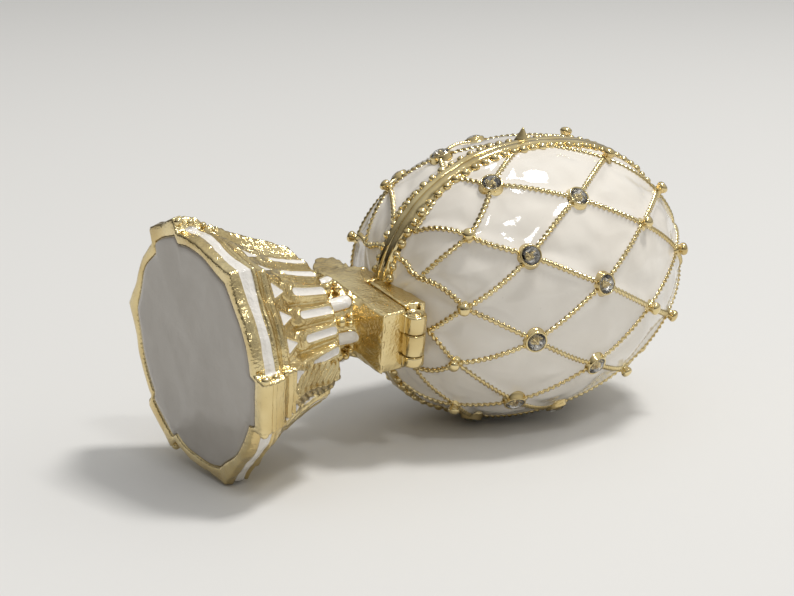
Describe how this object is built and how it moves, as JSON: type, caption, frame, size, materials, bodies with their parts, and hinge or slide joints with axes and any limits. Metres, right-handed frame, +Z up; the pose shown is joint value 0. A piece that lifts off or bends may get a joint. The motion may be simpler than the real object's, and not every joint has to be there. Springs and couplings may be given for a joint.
{
  "type": "hinged egg trinket box",
  "caption": "Upright egg-shaped box in two hinged halves, enamelled under a raised wire lattice with set stones, on a fluted foot.",
  "frame": {"origin": "centre of the foot's flat underside", "axes": "+Z up through the egg, -Y toward the lid and its hinge, +X along the hinge pin"},
  "size_m": [0.0413, 0.0384, 0.078],
  "materials": {
    "gold_casting": "polished pale gold plate",
    "base_enamel": "glossy off-white enamel",
    "hinge_pin": "polished pale gold plate",
    "egg_back_enamel": "glossy warm white enamel between gold wires",
    "egg_lid_enamel": "glossy warm white enamel between gold wires",
    "crystal": "clear faceted crystal"
  },
  "bodies": {
    "base": {"pedestal": "gold_casting", "base_panel": "base_enamel", "hinge_pin": "hinge_pin", "egg_back_shell": "egg_back_enamel", "back_crystal_01": "crystal", "back_crystal_02": "crystal", "back_crystal_03": "crystal", "back_crystal_04": "crystal", "back_crystal_05": "crystal", "back_crystal_06": "crystal", "back_crystal_07": "crystal", "back_crystal_08": "crystal", "back_crystal_09": "crystal"},
    "lid": {"egg_lid_shell": "egg_lid_enamel", "lid_crystal_01": "crystal", "lid_crystal_02": "crystal", "lid_crystal_03": "crystal", "lid_crystal_04": "crystal", "lid_crystal_05": "crystal", "lid_crystal_06": "crystal", "lid_crystal_07": "crystal", "lid_crystal_08": "crystal", "lid_crystal_09": "crystal"}
  },
  "joints": [
    {"name": "lid_hinge", "type": "hinge", "parent": "base", "child": "lid", "pos_m": [0, -0.0102, 0.027], "axis": [1, 0, 0], "range_deg": [0, 90]}
  ]
}
